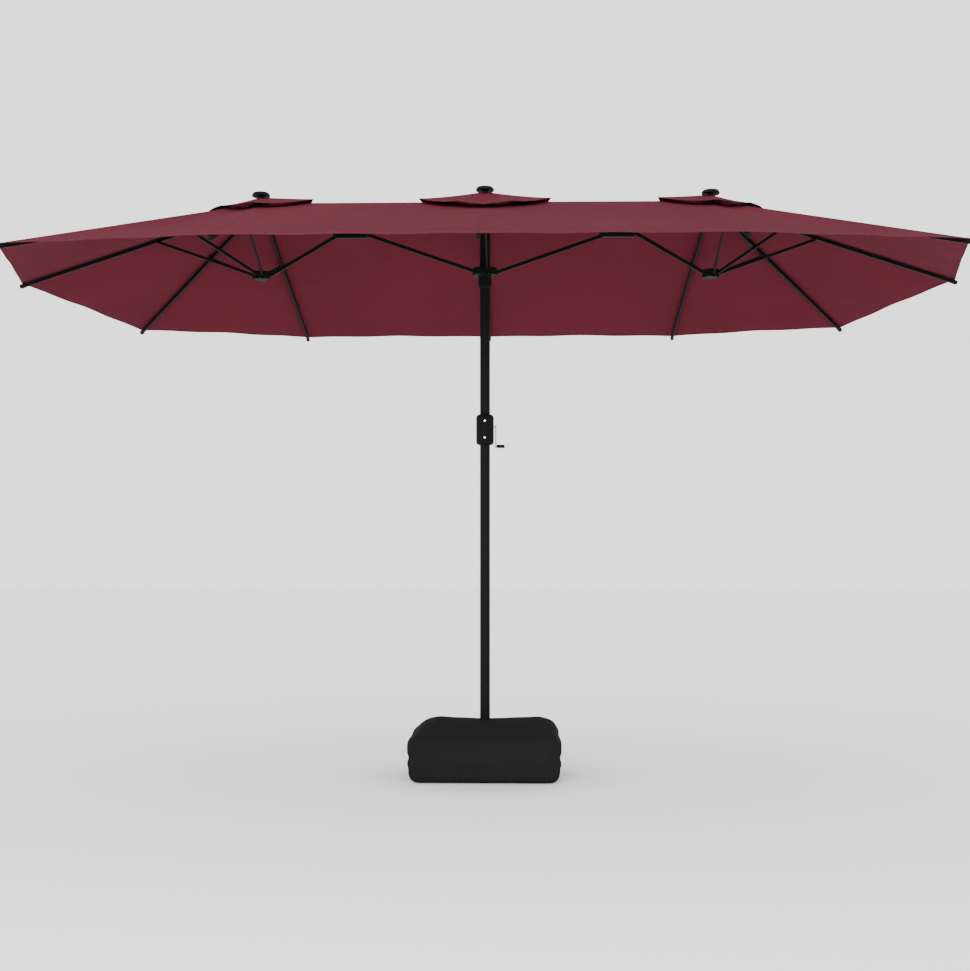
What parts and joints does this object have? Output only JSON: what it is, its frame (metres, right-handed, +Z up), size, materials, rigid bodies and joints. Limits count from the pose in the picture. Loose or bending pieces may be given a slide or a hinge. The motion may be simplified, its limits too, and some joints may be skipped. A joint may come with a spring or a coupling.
{
  "type": "patio umbrella with base",
  "caption": "Long market umbrella on one pole: three linked heads under a shared canopy, vent caps, a crank with its spool and pulley, and a weighted fabric base on a steel cross.",
  "frame": {"origin": "on the floor, on the pole's axis", "axes": "+X along the canopy ridge, towards the crank arm; -Y towards the front; +Z up"},
  "size_m": [4.4932, 2.4538, 2.822],
  "materials": {
    "canopy_cloth": "woven polyester",
    "bag_cloth": "coated woven polyester",
    "black_plastic": "moulded, matte",
    "frame_tube": "black powder coat",
    "base_metal": "black powder coat",
    "crank_metal": "grey paint",
    "steel": "zinc plated"
  },
  "bodies": {
    "pole": {"base_leg_long": "base_metal", "base_leg_short": "base_metal", "base_bolt": "steel", "base_socket": "base_metal", "weight_bag": "bag_cloth", "lower_pole": "frame_tube", "upper_pole": "frame_tube", "crank_housing_front": "black_plastic", "crank_housing_back": "black_plastic", "housing_screw_upper": "steel", "housing_screw_lower": "steel", "centre_hub": "black_plastic", "centre_cap": "black_plastic", "centre_vent": "canopy_cloth", "canopy": "canopy_cloth", "pulley_pin": "steel"},
    "right_arm": {"right_arm": "frame_tube"},
    "left_arm": {"left_arm": "frame_tube"},
    "runner": {"runner": "black_plastic"},
    "crank": {"rope_spool": "steel", "crank_arm": "crank_metal"},
    "crank_grip": {"crank_grip": "black_plastic"},
    "pulley": {"rope_pulley": "steel"},
    "centre_front_rib": {"centre_front_rib": "frame_tube"},
    "centre_front_strut": {"centre_front_strut": "frame_tube"},
    "centre_back_rib": {"centre_back_rib": "frame_tube"},
    "centre_back_strut": {"centre_back_strut": "frame_tube"},
    "right_arm_strut": {"right_arm_strut": "frame_tube"},
    "right_head": {"right_hub": "black_plastic", "right_cap": "black_plastic", "right_vent": "canopy_cloth"},
    "right_lower_hub": {"right_lower_hub": "black_plastic"},
    "right_brace": {"right_brace": "frame_tube"},
    "right_end_rib": {"right_end_rib": "frame_tube"},
    "right_end_strut": {"right_end_strut": "frame_tube"},
    "right_front_corner_rib": {"right_front_corner_rib": "frame_tube"},
    "right_front_corner_strut": {"right_front_corner_strut": "frame_tube"},
    "right_back_corner_rib": {"right_back_corner_rib": "frame_tube"},
    "right_back_corner_strut": {"right_back_corner_strut": "frame_tube"},
    "right_front_rib": {"right_front_rib": "frame_tube"},
    "right_front_strut": {"right_front_strut": "frame_tube"},
    "right_back_rib": {"right_back_rib": "frame_tube"},
    "right_back_strut": {"right_back_strut": "frame_tube"},
    "left_arm_strut": {"left_arm_strut": "frame_tube"},
    "left_head": {"left_hub": "black_plastic", "left_cap": "black_plastic", "left_vent": "canopy_cloth"},
    "left_lower_hub": {"left_lower_hub": "black_plastic"},
    "left_brace": {"left_brace": "frame_tube"},
    "left_end_rib": {"left_end_rib": "frame_tube"},
    "left_end_strut": {"left_end_strut": "frame_tube"},
    "left_front_corner_rib": {"left_front_corner_rib": "frame_tube"},
    "left_front_corner_strut": {"left_front_corner_strut": "frame_tube"},
    "left_back_corner_rib": {"left_back_corner_rib": "frame_tube"},
    "left_back_corner_strut": {"left_back_corner_strut": "frame_tube"},
    "left_front_rib": {"left_front_rib": "frame_tube"},
    "left_front_strut": {"left_front_strut": "frame_tube"},
    "left_back_rib": {"left_back_rib": "frame_tube"},
    "left_back_strut": {"left_back_strut": "frame_tube"}
  },
  "joints": [
    {"name": "right_arm_fold", "type": "hinge", "parent": "pole", "child": "right_arm", "pos_m": [0.045, 0, 2.718], "axis": [0, 1, 0], "range_deg": [0, 41.61], "deforming": ["canopy", "centre_vent", "right_vent", "left_vent"]},
    {"name": "left_arm_fold", "type": "hinge", "parent": "pole", "child": "left_arm", "pos_m": [-0.045, 0, 2.718], "axis": [0, -1, 0], "range_deg": [0, 41.63]},
    {"name": "runner_slide", "type": "slide", "parent": "pole", "child": "runner", "axis": [0, 0, -1], "range_m": [0, 0.59002]},
    {"name": "crank_turn", "type": "hinge", "parent": "pole", "child": "crank", "pos_m": [0, 0, 1.672], "axis": [1, 0, 0], "range_deg": [0, 3189.12]},
    {"name": "grip_spin", "type": "hinge", "parent": "crank", "child": "crank_grip", "pos_m": [0.0745, 0, 1.578], "axis": [1, 0, 0], "continuous": true},
    {"name": "pulley_turn", "type": "hinge", "parent": "pole", "child": "pulley", "pos_m": [0.0135, 0, 2.668], "axis": [0, -1, 0], "range_deg": [0, 2414.63]},
    {"name": "centre_front_rib_fold", "type": "hinge", "parent": "pole", "child": "centre_front_rib", "pos_m": [0, -0.045, 2.718], "axis": [1, 0, 0], "range_deg": [0, 50.75]},
    {"name": "centre_front_strut_fold", "type": "hinge", "parent": "runner", "child": "centre_front_strut", "pos_m": [0, -0.05, 2.413], "axis": [1, 0, 0], "range_deg": [-53.54, 0]},
    {"name": "centre_back_rib_fold", "type": "hinge", "parent": "pole", "child": "centre_back_rib", "pos_m": [0, 0.045, 2.718], "axis": [-1, 0, 0], "range_deg": [0, 50.75]},
    {"name": "centre_back_strut_fold", "type": "hinge", "parent": "runner", "child": "centre_back_strut", "pos_m": [0, 0.05, 2.413], "axis": [-1, 0, 0], "range_deg": [-53.54, 0]},
    {"name": "right_arm_strut_fold", "type": "hinge", "parent": "runner", "child": "right_arm_strut", "pos_m": [0.05, 0, 2.413], "axis": [0, 1, 0], "range_deg": [-37.77, 0]},
    {"name": "right_head_level", "type": "hinge", "parent": "right_arm", "child": "right_head", "pos_m": [1.032, 0, 2.718], "axis": [0, 1, 0], "range_deg": [-41.63, 0]},
    {"name": "right_lower_hub_rise", "type": "slide", "parent": "right_head", "child": "right_lower_hub", "axis": [0, 0, 1], "range_m": [0, 0.24517]},
    {"name": "right_brace_fold", "type": "hinge", "parent": "right_lower_hub", "child": "right_brace", "pos_m": [1.045, 0, 2.4], "axis": [0, -1, 0], "range_deg": [0, 0.29552]},
    {"name": "right_end_rib_fold", "type": "hinge", "parent": "right_head", "child": "right_end_rib", "pos_m": [1.122, 0, 2.718], "axis": [0, 1, 0], "range_deg": [0, 55.91]},
    {"name": "right_end_strut_fold", "type": "hinge", "parent": "right_lower_hub", "child": "right_end_strut", "pos_m": [1.109, 0, 2.4], "axis": [0, 1, 0], "range_deg": [0, 88.89]},
    {"name": "right_front_corner_rib_fold", "type": "hinge", "parent": "right_head", "child": "right_front_corner_rib", "pos_m": [1.10605, -0.03437, 2.718], "axis": [0.7637, 0.6455, 0], "range_deg": [0, 56.4]},
    {"name": "right_front_corner_strut_fold", "type": "hinge", "parent": "right_lower_hub", "child": "right_front_corner_strut", "pos_m": [1.09766, -0.02444, 2.4], "axis": [0.7637, 0.6455, 0], "range_deg": [0, 89.26]},
    {"name": "right_back_corner_rib_fold", "type": "hinge", "parent": "right_head", "child": "right_back_corner_rib", "pos_m": [1.10605, 0.03437, 2.718], "axis": [-0.7637, 0.6455, 0], "range_deg": [0, 56.4]},
    {"name": "right_back_corner_strut_fold", "type": "hinge", "parent": "right_lower_hub", "child": "right_back_corner_strut", "pos_m": [1.09766, 0.02444, 2.4], "axis": [-0.7637, 0.6455, 0], "range_deg": [0, 89.26]},
    {"name": "right_front_rib_fold", "type": "hinge", "parent": "right_head", "child": "right_front_rib", "pos_m": [1.07568, -0.04498, 2.718], "axis": [0.9996, -0.0294, 0], "range_deg": [0, 53.91]},
    {"name": "right_front_strut_fold", "type": "hinge", "parent": "right_lower_hub", "child": "right_front_strut", "pos_m": [1.07606, -0.03199, 2.4], "axis": [0.9996, -0.0294, 0], "range_deg": [0, 87.34]},
    {"name": "right_back_rib_fold", "type": "hinge", "parent": "right_head", "child": "right_back_rib", "pos_m": [1.07568, 0.04498, 2.718], "axis": [-0.9996, -0.0294, 0], "range_deg": [0, 53.91]},
    {"name": "right_back_strut_fold", "type": "hinge", "parent": "right_lower_hub", "child": "right_back_strut", "pos_m": [1.07606, 0.03199, 2.4], "axis": [-0.9996, -0.0294, 0], "range_deg": [0, 87.34]},
    {"name": "left_arm_strut_fold", "type": "hinge", "parent": "runner", "child": "left_arm_strut", "pos_m": [-0.05, 0, 2.413], "axis": [0, -1, 0], "range_deg": [-37.77, 0]},
    {"name": "left_head_level", "type": "hinge", "parent": "left_arm", "child": "left_head", "pos_m": [-1.032, 0, 2.718], "axis": [0, -1, 0], "range_deg": [-41.63, 0]},
    {"name": "left_lower_hub_rise", "type": "slide", "parent": "left_head", "child": "left_lower_hub", "axis": [0, 0, 1], "range_m": [0, 0.24517]},
    {"name": "left_brace_fold", "type": "hinge", "parent": "left_lower_hub", "child": "left_brace", "pos_m": [-1.045, 0, 2.4], "axis": [0, 1, 0], "range_deg": [0, 0.29552]},
    {"name": "left_end_rib_fold", "type": "hinge", "parent": "left_head", "child": "left_end_rib", "pos_m": [-1.122, 0, 2.718], "axis": [0, -1, 0], "range_deg": [0, 55.91]},
    {"name": "left_end_strut_fold", "type": "hinge", "parent": "left_lower_hub", "child": "left_end_strut", "pos_m": [-1.109, 0, 2.4], "axis": [0, -1, 0], "range_deg": [0, 88.89]},
    {"name": "left_front_corner_rib_fold", "type": "hinge", "parent": "left_head", "child": "left_front_corner_rib", "pos_m": [-1.10605, -0.03437, 2.718], "axis": [0.7637, -0.6455, 0], "range_deg": [0, 56.4]},
    {"name": "left_front_corner_strut_fold", "type": "hinge", "parent": "left_lower_hub", "child": "left_front_corner_strut", "pos_m": [-1.09766, -0.02444, 2.4], "axis": [0.7637, -0.6455, 0], "range_deg": [0, 89.26]},
    {"name": "left_back_corner_rib_fold", "type": "hinge", "parent": "left_head", "child": "left_back_corner_rib", "pos_m": [-1.10605, 0.03437, 2.718], "axis": [-0.7637, -0.6455, 0], "range_deg": [0, 56.4]},
    {"name": "left_back_corner_strut_fold", "type": "hinge", "parent": "left_lower_hub", "child": "left_back_corner_strut", "pos_m": [-1.09766, 0.02444, 2.4], "axis": [-0.7637, -0.6455, 0], "range_deg": [0, 89.26]},
    {"name": "left_front_rib_fold", "type": "hinge", "parent": "left_head", "child": "left_front_rib", "pos_m": [-1.07568, -0.04498, 2.718], "axis": [0.9996, 0.0294, 0], "range_deg": [0, 53.91]},
    {"name": "left_front_strut_fold", "type": "hinge", "parent": "left_lower_hub", "child": "left_front_strut", "pos_m": [-1.07606, -0.03199, 2.4], "axis": [0.9996, 0.0294, 0], "range_deg": [0, 87.34]},
    {"name": "left_back_rib_fold", "type": "hinge", "parent": "left_head", "child": "left_back_rib", "pos_m": [-1.07568, 0.04498, 2.718], "axis": [-0.9996, 0.0294, 0], "range_deg": [0, 53.91]},
    {"name": "left_back_strut_fold", "type": "hinge", "parent": "left_lower_hub", "child": "left_back_strut", "pos_m": [-1.07606, 0.03199, 2.4], "axis": [-0.9996, 0.0294, 0], "range_deg": [0, 87.34]}
  ],
  "couplings": [
    {"joint": "left_arm_fold", "follows": "right_arm_fold", "ratio": 1},
    {"joint": "runner_slide", "follows": "right_arm_fold", "m_per_rad": 0.81238},
    {"joint": "crank_turn", "follows": "right_arm_fold", "ratio": 76.64},
    {"joint": "pulley_turn", "follows": "right_arm_fold", "ratio": 58.027},
    {"joint": "centre_front_rib_fold", "follows": "right_arm_fold", "ratio": 1.2191},
    {"joint": "centre_front_strut_fold", "follows": "right_arm_fold", "ratio": -1.2863},
    {"joint": "centre_back_rib_fold", "follows": "right_arm_fold", "ratio": 1.2191},
    {"joint": "centre_back_strut_fold", "follows": "right_arm_fold", "ratio": -1.2863},
    {"joint": "right_arm_strut_fold", "follows": "right_arm_fold", "ratio": -0.90725},
    {"joint": "right_head_level", "follows": "right_arm_fold", "ratio": -1},
    {"joint": "right_lower_hub_rise", "follows": "right_arm_fold", "m_per_rad": 0.33755},
    {"joint": "right_brace_fold", "follows": "right_arm_fold", "ratio": 0.0066213},
    {"joint": "right_end_rib_fold", "follows": "right_arm_fold", "ratio": 1.3431},
    {"joint": "right_end_strut_fold", "follows": "right_arm_fold", "ratio": 2.1356},
    {"joint": "right_front_corner_rib_fold", "follows": "right_arm_fold", "ratio": 1.3548},
    {"joint": "right_front_corner_strut_fold", "follows": "right_arm_fold", "ratio": 2.1446},
    {"joint": "right_back_corner_rib_fold", "follows": "right_arm_fold", "ratio": 1.3548},
    {"joint": "right_back_corner_strut_fold", "follows": "right_arm_fold", "ratio": 2.1446},
    {"joint": "right_front_rib_fold", "follows": "right_arm_fold", "ratio": 1.2951},
    {"joint": "right_front_strut_fold", "follows": "right_arm_fold", "ratio": 2.0985},
    {"joint": "right_back_rib_fold", "follows": "right_arm_fold", "ratio": 1.2951},
    {"joint": "right_back_strut_fold", "follows": "right_arm_fold", "ratio": 2.0985},
    {"joint": "left_arm_strut_fold", "follows": "right_arm_fold", "ratio": -0.90725},
    {"joint": "left_head_level", "follows": "right_arm_fold", "ratio": -1},
    {"joint": "left_lower_hub_rise", "follows": "right_arm_fold", "m_per_rad": 0.33755},
    {"joint": "left_brace_fold", "follows": "right_arm_fold", "ratio": 0.0066213},
    {"joint": "left_end_rib_fold", "follows": "right_arm_fold", "ratio": 1.3431},
    {"joint": "left_end_strut_fold", "follows": "right_arm_fold", "ratio": 2.1356},
    {"joint": "left_front_corner_rib_fold", "follows": "right_arm_fold", "ratio": 1.3548},
    {"joint": "left_front_corner_strut_fold", "follows": "right_arm_fold", "ratio": 2.1446},
    {"joint": "left_back_corner_rib_fold", "follows": "right_arm_fold", "ratio": 1.3548},
    {"joint": "left_back_corner_strut_fold", "follows": "right_arm_fold", "ratio": 2.1446},
    {"joint": "left_front_rib_fold", "follows": "right_arm_fold", "ratio": 1.2951},
    {"joint": "left_front_strut_fold", "follows": "right_arm_fold", "ratio": 2.0985},
    {"joint": "left_back_rib_fold", "follows": "right_arm_fold", "ratio": 1.2951},
    {"joint": "left_back_strut_fold", "follows": "right_arm_fold", "ratio": 2.0985}
  ]
}
